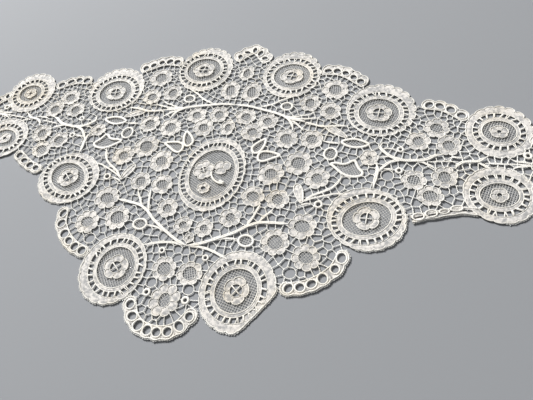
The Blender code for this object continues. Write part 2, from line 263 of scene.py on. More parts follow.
# stems: routes of the right half with their width
STEM_ROUTES = {
    "top": (
        (1.7, ((0.0, 52.2), (9.0, 51.9), (17.9, 50.1), (23.6, 48.9), (29.3, 47.5), (33.8, 45.9),
         (37.2, 44.7), (41.5, 44.1), (46.8, 43.3))),
        (1.6, ((29.8, 47.3), (32.6, 46.4), (35.7, 44.4), (38.0, 42.1), (39.7, 39.0),
         (40.6, 35.9))),
        (1.3, ((36.4, 45.0), (40.9, 42.0), (44.0, 39.5), (47.1, 36.7))),
        (1.4, ((46.0, 43.5), (52.1, 42.0), (57.3, 41.2), (61.5, 41.8), (66.0, 42.6),
         (72.7, 43.0))),
        (1.1, ((35.0, 45.8), (42.7, 45.5), (48.3, 46.1), (55.1, 47.5))),
        (0.9, ((33.0, 46.6), (39.4, 46.5), (43.8, 47.9), (47.7, 49.0), (51.3, 51.7))),
        (1.2, ((16.5, 51.8), (24.0, 55.4), (29.0, 59.2), (34.0, 61.6))),
        (1.3, ((59.5, 30.6), (64.5, 30.0), (70.0, 29.8))),
    ),
    "bottom": (
        (1.6, ((0.0, -47.0), (6.0, -45.2), (12.0, -42.2), (18.0, -38.8), (24.0, -35.2),
         (30.0, -30.4), (36.0, -27.4), (43.0, -26.4), (51.5, -25.6))),
        (1.3, ((28.8, -31.2), (31.0, -26.0), (32.4, -21.0), (33.6, -15.5))),
        (1.2, ((34.6, -28.0), (37.5, -23.5), (40.3, -19.6), (41.6, -17.0))),
        (1.1, ((12.5, -41.9), (19.0, -39.6), (25.0, -38.8), (28.0, -38.8))),
        (1.4, ((0.0, -47.0), (8.0, -46.6), (14.0, -47.4), (20.0, -49.2), (24.5, -50.8))),
        (1.0, ((54.0, -14.6), (57.5, -12.4), (62.2, -11.2))),
        (1.0, ((55.4, -12.0), (59.0, -9.4), (64.0, -7.0), (69.0, -5.0), (74.0, -3.4),
         (79.0, -3.8))),
        (1.3, ((56.4, -10.4), (61.0, -6.4), (66.0, -3.4), (70.0, -0.4), (72.8, 3.6), (74.6, 8.4))),
    ),
    "arm": (
        (1.8, ((93.0, 32.6), (92.6, 29.4), (96.0, 26.0), (100.5, 23.4), (104.6, 22.7),
         (109.0, 22.9), (114.2, 23.7), (116.9, 24.5), (119.2, 25.9), (122.1, 28.0),
         (125.7, 29.0))),
        (1.6, ((106.0, 22.6), (100.2, 21.4), (96.8, 18.6), (94.4, 15.3), (93.1, 12.6))),
        (1.8, ((91.2, 19.0), (92.6, 15.4), (92.5, 10.4), (92.0, 6.4), (91.8, 2.6))),
        (1.5, ((95.0, 15.6), (98.6, 16.0), (102.2, 15.8))),
        (1.1, ((94.6, 29.2), (98.0, 29.6), (101.6, 29.7))),
        (1.4, ((109.0, 22.8), (114.2, 23.1), (117.4, 22.0), (120.5, 20.6), (123.2, 18.6))),
        (1.2, ((128.4, 26.4), (130.2, 27.8), (133.4, 28.0), (137.5, 28.0))),
        (1.6, ((132.2, 20.4), (133.9, 23.5), (136.4, 25.4), (140.0, 26.2), (143.0, 26.6),
         (145.7, 28.6), (148.4, 30.8))),
        (1.3, ((141.5, 26.3), (144.0, 25.7), (146.6, 24.4), (149.0, 23.0), (149.9, 21.1))),
        (0.9, ((104.0, 24.2), (98.0, 24.2), (92.0, 23.6))),
        (0.8, ((118.8, 23.5), (123.0, 24.2), (127.3, 24.8), (133.9, 25.3))),
        (0.9, ((146.6, 26.0), (150.6, 26.2), (154.6, 26.5), (163.0, 27.4), (169.6, 27.7))),
        (1.2, ((158.7, 30.8), (161.4, 29.3), (165.4, 29.0), (170.6, 28.8))),
        (1.3, ((160.2, 24.1), (162.9, 25.8), (166.5, 26.8), (170.6, 27.2))),
    ),
}

# the net of bars
NET_SPACING = 4.25
NET_STEP = 0.25
OUTSIDE_STEP = 3.0
NET_FIRST_LINE = 2.15
NET_WINDOW = ((-188.0, 188.0), (-102.0, 110.0))
NET_SEED = 7
SHORT_BAR = 0.9
LEAST_BAR = 0.7
LONGEST_BAR = 30.0
BAR_TUCK = 0.5
SEED_CELL = 2.0
CLEARANCE_STEPS = 12
NEIGHBOURS = ((0, 1), (0, -1), (1, 0), (-1, 0), (1, 1), (1, -1), (-1, 1), (-1, -1))


# ---- thread work

def circle(count):
    return np.arange(count) * TURN / count


def mirrored(points, side):
    return list(points) if side == "right" else [(-x, y) for x, y in reversed(points)]


def grid_quads(rows, columns, wrap_rows=False):
    """Faces between the points of a grid whose columns close up into a ring."""
    i, j = np.meshgrid(np.arange(rows if wrap_rows else rows - 1), np.arange(columns),
                       indexing="ij")
    below, after = (i + 1) % rows, (j + 1) % columns
    corners = [i * columns + j, below * columns + j, below * columns + after, i * columns + after]
    return np.stack(corners, -1).reshape(-1, 4)


def runs_of(kept):
    """(first, last) of each run of true values, last not included."""
    edges = np.flatnonzero(np.diff(np.concatenate([[0], kept.astype(int), [0]])))
    return list(zip(edges[::2], edges[1::2]))


class Work:
    """The threads and cloth of one piece, gathered as four-sided faces."""

    def __init__(self, seed):
        self.points, self.faces, self.kinds, self.maps = [], [], [], []
        self.count = 0
        self.random = np.random.default_rng(seed)

    def add(self, points, faces, kind, maps):
        self.points.append(points)
        self.faces.append(faces + self.count)
        self.kinds.append(np.full(len(faces), kind))
        self.maps.append(maps)
        self.count += len(points)

    def tube(self, path, height, radius=CORD_RADIUS, kind=CORD, sides=6, closed=False, flat=1.0):
        """A round thread along a path, at a height; flat squeezes it."""
        path = np.column_stack([path, np.broadcast_to(height, len(path))])
        n = len(path)
        ahead = np.roll(path, -1, 0) - np.roll(path, 1, 0) if closed else np.gradient(path, axis=0)
        across = np.stack([-ahead[:, 1], ahead[:, 0]], 1)
        across /= np.linalg.norm(across, axis=1, keepdims=True) + TINY
        radius = np.broadcast_to(np.asarray(radius, float), (n,))[:, None]
        turn = circle(sides)
        ring = np.repeat(path[:, None, :], sides, 1)
        ring[..., :2] += (radius * np.cos(turn))[..., None] * across[:, None, :]
        ring[..., 2] += radius * np.sin(turn) * flat
        faces = grid_quads(n, sides, closed)[:, BACKWARDS]
        i, k = np.divmod(faces[:, :1], sides)
        length = np.linalg.norm(np.diff(path, axis=0, append=path[:1]), axis=1)
        along = np.concatenate([[0.0], np.cumsum(length)])
        around = TURN * radius[0, 0] / sides
        maps = np.stack([along[i + (0, 0, 1, 1)], (k + (0, 1, 1, 0)) * around], -1)
        if not closed:
            last = (n - 1) * sides
            caps = np.array([[(0, j + 2, j + 1, j), (last, last + j, last + j + 1, last + j + 2)]
                             for j in range(1, sides - 2, 2)]).reshape(-1, 4)
            faces = np.concatenate([faces, caps])
            maps = np.concatenate([maps, np.zeros((len(caps), 4, 2))])
        self.add(ring.reshape(-1, 3), faces, kind, maps)

    def cloth(self, top, scale):
        """Cloth stitch under a ring of top points; rows run outwards, columns round it."""
        rows, columns = top.shape[:2]
        under = top.copy()
        under[..., 2] = np.maximum(top[..., 2] - CLOTH_THICKNESS, CLOTH_LOWEST)
        layer = rows * columns
        upper = grid_quads(rows, columns)
        j = np.arange(columns)
        after = (j + 1) % columns
        edge = layer - columns
        inner = np.stack([j, after, after + layer, j + layer], -1)
        outer = np.stack([after, j, j + layer, after + layer], -1) + edge
        faces = np.concatenate([upper, upper[:, BACKWARDS] + layer, inner, outer])
        row, column = np.divmod(faces % layer, columns)
        crosses_seam = (column.max(1) - column.min(1) > 1)[:, None]
        column = np.where(crosses_seam & (column == 0), columns, column)
        maps = np.stack([row * scale[0], column * scale[1]], -1)
        self.add(np.concatenate([top.reshape(-1, 3), under.reshape(-1, 3)]), faces, CLOTH, maps)

    def hoop(self, x, y, half_w, half_h, points, height, radius, tilt=0.0, **how):
        """A cord laid in an ellipse."""
        path = ellipse_points(x, y, half_w, half_h, circle(points), tilt)
        self.tube(path, height, radius, closed=True, **how)

    def lattice(self, x, y, half_w, half_h, inside, angle=None, radius=LATTICE_RADIUS):
        """Woven mesh: two sets of threads, over and under, kept to a region."""
        angle = self.random.uniform(0, 1.5) if angle is None else angle
        pitch = LATTICE_PITCH
        lines = int(math.hypot(half_w, half_h) / pitch) + 1
        steps = np.arange(-lines, lines + 1)
        for layer, way in enumerate((angle, angle + math.pi / 2)):
            c, s = math.cos(way), math.sin(way)
            for line in range(-lines, lines + 1):
                along = (steps + self.random.normal(0, LATTICE_SHIFT)) * pitch
                offset = line * pitch + self.random.normal(0, LATTICE_UNEVEN)
                drift = offset + self.random.normal(0, LATTICE_SHIFT, len(steps))
                px = x + along * c - drift * s
                py = y + along * s + drift * c
                pz = LATTICE_HEIGHT + LATTICE_WAVE * (-1.0) ** (steps + line + layer)
                kept = inside(px, py)
                for first, last in runs_of(kept):
                    first, last = max(first - 1, 0), min(last + 1, len(kept))
                    if last - first > 1:
                        path = np.stack([px, py], 1)[first:last]
                        self.tube(path, pz[first:last], radius, MESH, sides=4)


def smooth(route, spacing=0.7, closed=False):
    """Catmull-Rom points through a route, about evenly spaced."""
    p = np.array(route, float)
    p = np.concatenate([p[-1:], p, p[:2]] if closed else [p[:1], p, p[-1:]])
    out = []
    for a, b, c, d in zip(p, p[1:], p[2:], p[3:]):
        n = max(2, int(np.linalg.norm(c - b) / spacing))
        t = (np.arange(n) / n)[:, None]
        out.append(0.5 * (2 * b + (c - a) * t + (2 * a - 5 * b + 4 * c - d) * t ** 2
                          + (3 * b - 3 * c + d - a) * t ** 3))
    return np.concatenate(out if closed else [*out, p[-1:]])


def directions(path):
    """Unit steps along a path, and to its left."""
    ahead = np.gradient(path, axis=0)
    ahead /= np.linalg.norm(ahead, axis=1, keepdims=True)
    return ahead, np.stack([-ahead[:, 1], ahead[:, 0]], 1)


def tapered(count, steps, least):
    """How thick each point of a cord is, as a share: thinner at both ends."""
    k = np.arange(count)
    return np.clip(np.minimum(k, k[::-1]) / steps, least, 1)


def ellipse_points(x, y, half_w, half_h, angle, tilt=0.0):
    along, up = half_w * np.cos(angle), half_h * np.sin(angle)
    c, s = math.cos(tilt), math.sin(tilt)
    return np.stack([x + along * c - up * s, y + along * s + up * c], 1)


def in_ellipse(x, y, half_w, half_h):
    return lambda px, py: ((px - x) / half_w) ** 2 + ((py - y) / half_h) ** 2 < 1


def within(outline, x, y):
    """Whether places are inside an outline."""
    inside = np.zeros(np.shape(x), bool)
    for (ax, ay), (bx, by) in zip(outline, np.roll(outline, -1, 0)):
        if ay != by:
            crosses = (y > min(ay, by)) & (y <= max(ay, by))
            inside ^= crosses & (x < ax + (y - ay) * (bx - ax) / (by - ay))
    return inside


# ---- small motifs

def petal_edge(angle, petals, first, notch):
    """The outline of a flower as a share of its half size, and where in its petal a point is."""
    phase = ((angle - first) * petals / TURN + 0.5) % 1.0 * 2 - 1
    return 1 - notch * (1 - np.clip(1 - phase ** 2, 0, 1) ** PETAL_ROUND), phase


def flower(work, row, notch=NOTCH, mesh=True):
    """Petals of cloth stitch with a corded edge and ribs round a ring, and mesh in it."""
    f = Flower(*row)
    first = math.radians(f.angle)
    angle = circle(f.petals * PETAL_POINTS) + first
    edge, phase = petal_edge(angle, f.petals, first, notch)
    uneven = 1 + PETAL_UNEVEN * np.sin(angle * 2 + work.random.uniform(0, TURN))
    edge = edge * uneven
    cos, sin = np.cos(angle), np.sin(angle)
    share = np.linspace(0, 1, PETAL_ROWS)[:, None]
    reach_w = f.core_w + share * (f.half_w * edge * CLOTH_SHARE - f.core_w)
    reach_h = f.core_h + share * (f.half_h * edge * CLOTH_SHARE - f.core_h)
    crown = np.sin(np.pi * np.clip(share, 0.08, 0.92)) * (1 - 0.75 * phase ** 4)
    top = np.stack([f.x + reach_w * cos, f.y + reach_h * sin,
                    CLOTH_HEIGHT - 0.1 + PETAL_CROWN * crown], -1)
    out = (f.half_w - f.core_w) / (PETAL_ROWS - 1)
    work.cloth(top, (out, TURN * f.half_w * 0.75 / len(angle)))
    deep = petal_edge(angle, f.petals, first, notch + 0.05)[0] * uneven * CLOTH_SHARE
    path = np.stack([f.x + f.half_w * deep * cos, f.y + f.half_h * deep * sin], 1)
    work.tube(path, CORD_HEIGHT - 0.12 * phase ** 6, CORD_RADIUS * 0.78, closed=True)
    work.hoop(f.x, f.y, f.core_w + 0.1, f.core_h + 0.1, 24, CORD_HEIGHT - 0.08,
              CORD_RADIUS * 0.55, sides=5)
    t = np.array((0, 0.5, 1))
    reach = 1 - notch - 0.1
    for k in range(f.petals):
        a = first + (k + 0.5) * TURN / f.petals
        rib = [f.x + (f.core_w + t * (f.half_w * reach - f.core_w)) * math.cos(a),
               f.y + (f.core_h + t * (f.half_h * reach - f.core_h)) * math.sin(a)]
        work.tube(np.stack(rib, 1), CLOTH_HEIGHT + 0.12, RIB_RADIUS, sides=4)
    if mesh:
        core = (f.x, f.y, f.core_w, f.core_h)
        work.lattice(*core, in_ellipse(*core), radius=FLOWER_LATTICE_RADIUS)


def mesh_leaf(work, outline):
    """A leaf of woven mesh in a thick corded rim."""
    edge = smooth(outline, closed=True)
    work.tube(edge, RIM_HEIGHT, LEAF_RIM, sides=10, closed=True, flat=0.42)
    x, y = edge.mean(0)
    half_w, half_h = (edge.max(0) - edge.min(0)) / 2
    work.lattice(x, y, half_w, half_h, lambda px, py: within(edge, px, py))


def cloth_leaf(work, row):
    """A small leaf of cloth stitch with a corded vein and edge."""
    f = Leaf(*row)
    a = math.radians(f.angle)
    c, s = math.cos(a), math.sin(a)
    turn = circle(26)
    shares = np.linspace(0.03, 1, 5)[:, None]
    u = shares * np.cos(turn) * f.half_length
    v = shares * (np.sin(turn) * (1 - 0.35 * np.cos(turn))) * f.half_width
    z = CLOTH_HEIGHT + LEAF_CROWN * np.cos(shares * math.pi / 2) * np.ones(len(turn))
    grid = np.stack([f.x + u * c - v * s, f.y + u * s + v * c, z], -1)
    work.cloth(grid, FINE_SCALE)
    work.tube(grid[-1, :, :2], CORD_HEIGHT, closed=True)
    reach = f.half_length * 0.85
    vein = [(f.x + t * reach * c, f.y + t * reach * s) for t in np.linspace(-1, 1, 12)]
    work.tube(vein, CLOTH_HEIGHT + LEAF_CROWN, 0.22)


def berry(work, x, y, half_w, half_h):
    work.hoop(x, y, half_w - BERRY_RIM, half_h - BERRY_RIM, 24, RIM_HEIGHT, BERRY_RIM,
              sides=8, flat=0.5)
    work.lattice(x, y, half_w, half_h, in_ellipse(x, y, half_w - 1, half_h - 1))


def small_ring(work, x, y, hole, thick):
    work.hoop(x, y, hole + thick, hole + thick, 20, 0.7, thick, flat=0.7)


def gap_ring(work, x, y, half_w, half_h):
    work.hoop(x, y, half_w + GAP_CORD, half_h + GAP_CORD, 26, 0.55, GAP_CORD)


def stem(work, width, route):
    """A raised stem: two cords side by side that close up at the ends."""
    path = smooth(route)
    n = len(path)
    ends = tapered(n, 5, 0.4)
    height = STEM_HEIGHT if width > 1.5 else STEM_HEIGHT - 0.25
    _, across = directions(path)
    for side in (-1, 1):
        sway = 0.04 * np.sin(np.arange(n) * 0.9 + side)
        line = path + across * ((side * 0.24 + sway) * width * ends)[:, None]
        work.tube(line, height, 0.3 * width * ends, sides=8, flat=0.55)


# ---- medallions

def medallion_node(name, side):
    return "medallion_" + name + ("_" + side if side else "")


def medallion_box(name, side):
    """Middle and half sizes of a medallion's outline, from its CAD node."""
    low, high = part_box(medallion_node(name, side))
    across, up, more = OUTLINE_SHIFTS.get(name + "_" + side, (0.0, 0.0, 0.0))
    return ((low.x + high.x) / 2 / MM + across, (low.y + high.y) / 2 / MM + up,
            (high.x - low.x) / 2 / MM + more, (high.y - low.y) / 2 / MM + more)


def medallion_outline(name, side, angle, lobes):
    """The scalloped free edge, seen from the middle of the outline."""
    x, y, half_w, half_h = medallion_box(name, side)
    phase = (angle * lobes / TURN) % 1.0 * 2 - 1
    away = math.atan2(y - LACE_MIDDLE, x) if name != "centre" else 0.0
    free = 0.5 + 0.5 * np.cos(angle - away)
    full = TOP_SCALLOP if name.startswith("top") else LOW_SCALLOP
    depth = INNER_SCALLOP + (full - INNER_SCALLOP) * free
    depth = depth * (1 - np.clip(1 - phase ** 2, 0, 1) ** 0.5)
    out = ellipse_points(x, y, half_w + 0.1 - depth, half_h + 0.1 - depth, angle)
    return turned_under(out) if name + "_" + side == TURNED_MEDALLION else out


def turned_under(points):
    """Points past the turned line are drawn back to it."""
    (x, y), (x1, y1) = TURNED_LINE
    length = math.hypot(x1 - x, y1 - y)
    tx, ty = (x1 - x) / length, (y1 - y) / length
    past = (points[:, 1] - y) * tx - (points[:, 0] - x) * ty
    past = np.logaddexp(0, past / TURNED_ROUNDING) * TURNED_ROUNDING
    return points + past[:, None] * np.array([ty, -tx])


def turned_back(dx, dy, tilt):
    """Distances from the middle of a tilted ellipse, along its own axes."""
    c, s = math.cos(tilt), math.sin(tilt)
    return dx * c + dy * s, dy * c - dx * s


def band(work, inner, outer, rows, crown, along):
    """Cloth stitch between two closed lines."""
    share = np.linspace(0, 1, rows)[:, None, None]
    grid = inner + (outer - inner) * share
    z = CLOTH_HEIGHT + crown * np.sin(np.pi * share[..., 0]) * np.ones(len(inner))
    width = float(np.linalg.norm(outer - inner, axis=1).mean())
    work.cloth(np.concatenate([grid, z[..., None]], 2), (width / (rows - 1), along))


def medallion(work, m, side, sign):
    """Scalloped band, ladder of windows, plain band and, in it, a flower or spray on mesh."""
    shift = MEDALLION_SHIFTS.get(m.name + "_" + side, (0.0, 0.0))
    x, y = m.x * sign + shift[0], m.y + shift[1]
    w, h = m.ring_w, m.ring_h
    tilt = math.radians(MEDALLION_TILTS.get(m.name, 0.0)) * sign
    angle = circle(m.lobes * LOBE_POINTS)
    outline = medallion_outline(m.name, side, angle, m.lobes)
    along, up = turned_back(outline[:, 0] - x, outline[:, 1] - y, tilt)
    window_out = ellipse_points(x, y, w + WINDOW_HALF, h + WINDOW_HALF,
                                np.arctan2(up / h, along / w), tilt)
    band(work, window_out, outline, 6, 0.18, TURN * w / len(angle))
    work.tube(outline, CORD_HEIGHT - 0.04, CORD_RADIUS * 0.9, closed=True)
    work.tube(window_out, CORD_HEIGHT - 0.1, CORD_RADIUS * 0.75, closed=True)
    if m.name.startswith("bottom"):
        free = np.flatnonzero(np.cos(angle - math.atan2(y - LACE_MIDDLE, x)) > PICOT_TURN)
        start = np.flatnonzero(np.diff(free) > 1)
        free = np.roll(free, -(start[0] + 1)) if len(start) else free
        picot_edge(work, outline[free[::-1]])
    if m.name + "_" + side == TURNED_MEDALLION:
        under = smooth(TURNED_LAYER)
        half = np.sqrt(np.sin(np.linspace(0.15, math.pi - 0.15, len(under))))
        work.tube(under, 0.3, TURNED_LAYER_HALF * half, CLOTH, sides=10, flat=0.06)
    even = circle(RING_POINTS)
    window_in = ellipse_points(x, y, w - WINDOW_HALF, h - WINDOW_HALF, even, tilt)
    mesh_edge = ellipse_points(x, y, m.mesh_w, m.mesh_h, even, tilt)
    band(work, mesh_edge, window_in, 5, 0.2, TURN * w / RING_POINTS)
    work.tube(window_in, CORD_HEIGHT - 0.08, CORD_RADIUS * 0.75, closed=True)
    work.tube(mesh_edge, CORD_HEIGHT - 0.05, CORD_RADIUS * 0.9, closed=True)
    for k in range(m.windows):
        turn = (k + work.random.normal(0, 0.08)) * TURN / m.windows
        double = work.random.random() < DOUBLE_BARS
        for offset in ((-0.42, 0.42) if double else (0.0,)):
            a = turn + offset / w
            lean = work.random.normal(0, 0.02)
            ends = [ellipse_points(x, y, w + r, h + r, np.array([a + lean * r]), tilt)[0]
                    for r in (-1.5, -0.5, 0.5, 1.5)]
            radius = WINDOW_BAR * TURN * w / m.windows * (0.55 if double else 1.0)
            work.tube(ends, 0.55, radius, flat=0.65)
    if m.name == "centre":
        spray(work, m.mesh_w, m.mesh_h, x, y)
        return
    first = work.random.uniform(0, 360)
    flower(work, (x, y, m.flower_w, m.flower_h, MEDALLION_PETALS, m.eye, m.eye, first),
           notch=MEDALLION_NOTCH, mesh=False)

    def inside(px, py):
        along, up = turned_back(px - x, py - y, tilt)
        on_mesh = (along / m.mesh_w) ** 2 + (up / m.mesh_h) ** 2 < 1
        dx, dy = (px - x) / m.flower_w, (py - y) / m.flower_h
        reach, _ = petal_edge(np.arctan2(dy, dx), MEDALLION_PETALS, math.radians(first),
                              MEDALLION_NOTCH)
        return on_mesh & (np.hypot(dx, dy) > reach * 0.93)
    work.lattice(x, y, m.mesh_w, m.mesh_h, inside)
    if m.eye > 1.5:
        eye_cross(work, x, y, m.eye)


def eye_cross(work, x, y, eye):
    """Threads crossed over the open eye of a flower."""
    tilt = work.random.uniform(0, 1.5)
    reach = eye + 0.3
    for way in (tilt, tilt + math.pi / 2 + work.random.normal(0, 0.1)):
        line = [(x + t * reach * math.cos(way), y + t * reach * math.sin(way))
                for t in (-1, -0.4, 0, 0.4, 1)]
        work.tube(line, 0.55)


def spray(work, core_w, core_h, cx, cy):
    """The spray in the oval medallion: an open flower, a blossom, a bud and its stems."""
    for row in SPRAY_FLOWERS:
        flower(work, row, notch=0.24 if Flower(*row).petals > 3 else 0.42, mesh=False)
    largest = Flower(*SPRAY_FLOWERS[0])
    eye_cross(work, largest.x, largest.y, largest.core_w)
    for width, route in SPRAY_STEMS:
        work.tube(smooth(route), 0.85, width / 2, sides=8, flat=0.7)

    def inside(px, py):
        free = in_ellipse(cx, cy, core_w, core_h)(px, py)
        for x, y, half_w, half_h, *_ in SPRAY_FLOWERS:
            free &= ((px - x) / half_w) ** 2 + ((py - y) / half_h) ** 2 > 0.8
        return free
    work.lattice(cx, cy, core_w, core_h, inside, 1.1)


# ---- borders

def border(work, b):
    """A chain of corded rings in cloth stitch with a scalloped free edge."""
    p = np.array(b.rings, float)
    ahead, out = directions(p)
    last = len(p) - 1
    free_edge, ground_edge = [], []
    turn = math.radians(265) - circle(36)
    for k, (x, y) in enumerate(p):
        before = p[k - 1] - p[k] if k else -ahead[k] * END_HALF * 2
        after = p[k + 1] - p[k] if k < last else ahead[k] * END_HALF * 2
        way = np.cos(turn)[:, None] * ahead[k] + np.sin(turn)[:, None] * out[k]
        up, along = way @ out[k], way @ ahead[k]
        half = min(np.linalg.norm(before), np.linalg.norm(after)) / 2
        # the cloth's edge is found in every direction by halving
        near, far = np.zeros(len(turn)), np.full(len(turn), BORDER_FURTHEST)
        for _ in range(BORDER_HALVINGS):
            r = (near + far) / 2
            crest = b.reach - b.scallop * np.clip(np.abs(r * along) / half, 0, 1.15) ** 2.4
            inside = (r * up < crest) & (-r * up < b.back)
            for line in (before, after):
                size = np.linalg.norm(line)
                inside &= r * (way @ line) / size < size / 2
            if k in (0, last):
                open_side = along < 0 if k == 0 else along > 0
                inside &= ~open_side | (np.hypot(r * along / END_HALF, r * up / b.reach) < 1)
            near, far = np.where(inside, r, near), np.where(inside, far, r)
        tilt = work.random.normal(0, 0.45)
        hole_w = min(half - 0.5, b.hole_w * work.random.uniform(0.8, 1.1))
        hole_h = b.hole_h * work.random.uniform(0.8, 1.1)
        lean_along, lean_up = turned_back(along, up, tilt)
        rim = hole_w * hole_h / np.sqrt((hole_h * lean_along) ** 2 + (hole_w * lean_up) ** 2)
        r = np.maximum(r, rim + 0.35)
        share = np.linspace(0, 1, 6)[:, None]
        radius = rim + (r - rim) * share
        z = 0.56 + 0.08 * np.sin(np.pi * share) * np.ones(len(turn))
        work.cloth(np.stack([x + radius * way[:, 0], y + radius * way[:, 1], z], -1), FINE_SCALE)
        work.tube(p[k] + (rim + 0.4)[:, None] * way, 0.6, 0.5, closed=True)
        kept = (turn > 0) & (turn < math.pi) & (np.abs(r * along) < half * 0.94)
        kept |= (k == 0) & (along < 0)
        kept |= (k == last) & (along > 0)
        free_edge.extend((p[k] + r[:, None] * way)[kept])
        ground_edge.append(p[k] - out[k] * b.back)
    outer = smooth(free_edge, EDGE_SPACING)
    for edge in (outer, smooth(ground_edge, EDGE_SPACING)):
        work.tube(edge, CORD_HEIGHT)
    if b.name in FINE_EDGES:
        picot_edge(work, outer)


def picot_edge(work, path):
    """Tiny thread loops along a free edge that is on the left of the path."""
    s = np.concatenate([[0], np.cumsum(np.linalg.norm(np.diff(path, axis=0), axis=1))])
    half = PICOT_PITCH * 0.42
    for place in np.arange(PICOT_PITCH / 2, s[-1], PICOT_PITCH):
        start, end = (np.array([np.interp(place + d, s, path[:, k]) for k in (0, 1)])
                      for d in (-half, half))
        chord = end - start
        size = float(np.linalg.norm(chord))
        if size < PICOT_LEAST:
            continue
        across = np.array([-chord[1], chord[0]]) / size
        reach = PICOT_REACH * work.random.uniform(0.7, 1.15)
        middle = (start + end) / 2
        loop = [middle - chord / 2 * math.cos(t) + across * reach * math.sin(t)
                for t in np.linspace(0, math.pi, 6)]
        work.tube(loop, 0.45, PICOT_RADIUS, THREAD, sides=4)


def folded_border(work):
    """The border turned under: its rings show end on, above the roll of the fold."""
    path = smooth(FOLD_ROUTE)
    n = len(path)
    _, across = directions(path)
    ends = tapered(n, 4, 0.45)
    edge = path + across * (1.55 + 0.25 * np.sin(np.arange(n) * 0.5))[:, None]
    work.tube(path + across * 0.9, 0.62, 0.8 * ends, CLOTH, sides=10, flat=0.55)
    work.tube(edge, 0.75, 0.42)
    work.tube(path - across * 1.9, 0.7, 0.42)
    work.tube(path - across * 1.1, 0.6, 0.55 * ends, CLOTH, sides=8, flat=0.5)
    picot_edge(work, edge)
    (x0, y0), (x1, y1) = FOLD_ROUTE[0], FOLD_ROUTE[-1]
    for x, y, half_w, half_h in FOLD_RINGS:
        work.hoop(x, y, half_w, half_h, 24, 1.0, 0.5, tilt=math.atan2(y0 - y1, x0 - x1))


# ---- net

class Map:
    """A map of true and false over the lace, at NET_STEP."""

    def __init__(self, on=None):
        (self.x0, x1), (self.y0, y1) = NET_WINDOW
        self.xs = np.arange(self.x0, x1, NET_STEP) + NET_STEP / 2
        self.ys = np.arange(self.y0, y1, NET_STEP) + NET_STEP / 2
        self.on = np.zeros((len(self.ys), len(self.xs)), bool) if on is None else on

    def polygon(self, points):
        """Marks everything inside an outline."""
        inside = np.zeros_like(self.on)
        for (ax, ay), (bx, by) in zip(points, np.roll(points, -1, 0)):
            rows = np.flatnonzero((self.ys > min(ay, by)) & (self.ys <= max(ay, by)))
            if len(rows):
                cross = ax + (self.ys[rows] - ay) * (bx - ax) / (by - ay)
                inside[rows] ^= self.xs[None, :] < cross[:, None]
        self.on |= inside

    def mark(self, x, y, reach, test):
        """Marks the places near a middle whose distances from it pass a test."""
        i = np.flatnonzero(np.abs(self.ys - y) <= reach)
        j = np.flatnonzero(np.abs(self.xs - x) <= reach)
        self.on[np.ix_(i, j)] |= test(*np.meshgrid(self.xs[j] - x, self.ys[i] - y))

    def ellipse(self, x, y, half_w, half_h, angle=0.0):
        inside = in_ellipse(0, 0, half_w, half_h)
        self.mark(x, y, max(half_w, half_h), lambda dx, dy: inside(*turned_back(dx, dy, angle)))

    def line(self, points, reach):
        """Marks everything close to a line."""
        for x, y in points:
            self.ellipse(x, y, reach, reach)

    def flower(self, row):
        f = Flower(*row)

        def inside(dx, dy):
            dx, dy = dx / f.half_w, dy / f.half_h
            edge, _ = petal_edge(np.arctan2(dy, dx), f.petals, math.radians(f.angle), NOTCH)
            return np.hypot(dx, dy) < edge * CLOTH_SHARE
        self.mark(f.x, f.y, max(f.half_w, f.half_h), inside)

    def at(self, x, y):
        i = np.clip(((y - self.y0) / NET_STEP).astype(int), 0, len(self.ys) - 1)
        j = np.clip(((x - self.x0) / NET_STEP).astype(int), 0, len(self.xs) - 1)
        return self.on[i, j]


def clearance(free):
    """Distance from each place to the nearest motif, up to a limit."""
    distance = np.zeros(free.on.shape, np.int16)
    still = free.on
    for step in range(CLEARANCE_STEPS):
        distance += still
        ways = NEIGHBOURS if step % 2 else NEIGHBOURS[:4]
        still = np.logical_and.reduce([still, *(np.roll(still, way, (0, 1)) for way in ways)])
    return distance * NET_STEP


def scattered(free, rng):
    """Seeds in the open ground: first in a line along each motif, then between them."""
    i, j = np.nonzero(free.on)
    away = clearance(free)[i, j]
    order = np.argsort(np.abs(away - NET_FIRST_LINE) + rng.uniform(0, 0.3, len(i)), kind="stable")
    spacing = NET_SPACING - 0.3 * np.tanh((free.ys[i] - 15) / 25)
    spacing = spacing * rng.uniform(0.74, 1.26, len(i))
    around = [(dx, dy) for dx in range(-3, 4) for dy in range(-3, 4)]
    taken, seeds = {}, []
    for k in order:
        x, y = free.xs[j[k]], free.ys[i[k]]
        column, row = int(x // SEED_CELL), int(y // SEED_CELL)
        least = spacing[k] ** 2
        near = (q for dx, dy in around for q in taken.get((column + dx, row + dy), ()))
        if all((q[0] - x) ** 2 + (q[1] - y) ** 2 > least for q in near):
            taken.setdefault((column, row), []).append((x, y))
            seeds.append((x + rng.uniform(-0.1, 0.1), y + rng.uniform(-0.1, 0.1)))
    return seeds


def outside(silhouette):
    """Seeds past the edges of the lace, that make the outermost bars run up to them."""
    step = int(OUTSIDE_STEP / NET_STEP)
    i, j = np.nonzero(~silhouette.on[::step, ::step])
    return list(zip(silhouette.xs[j * step], silhouette.ys[i * step]))


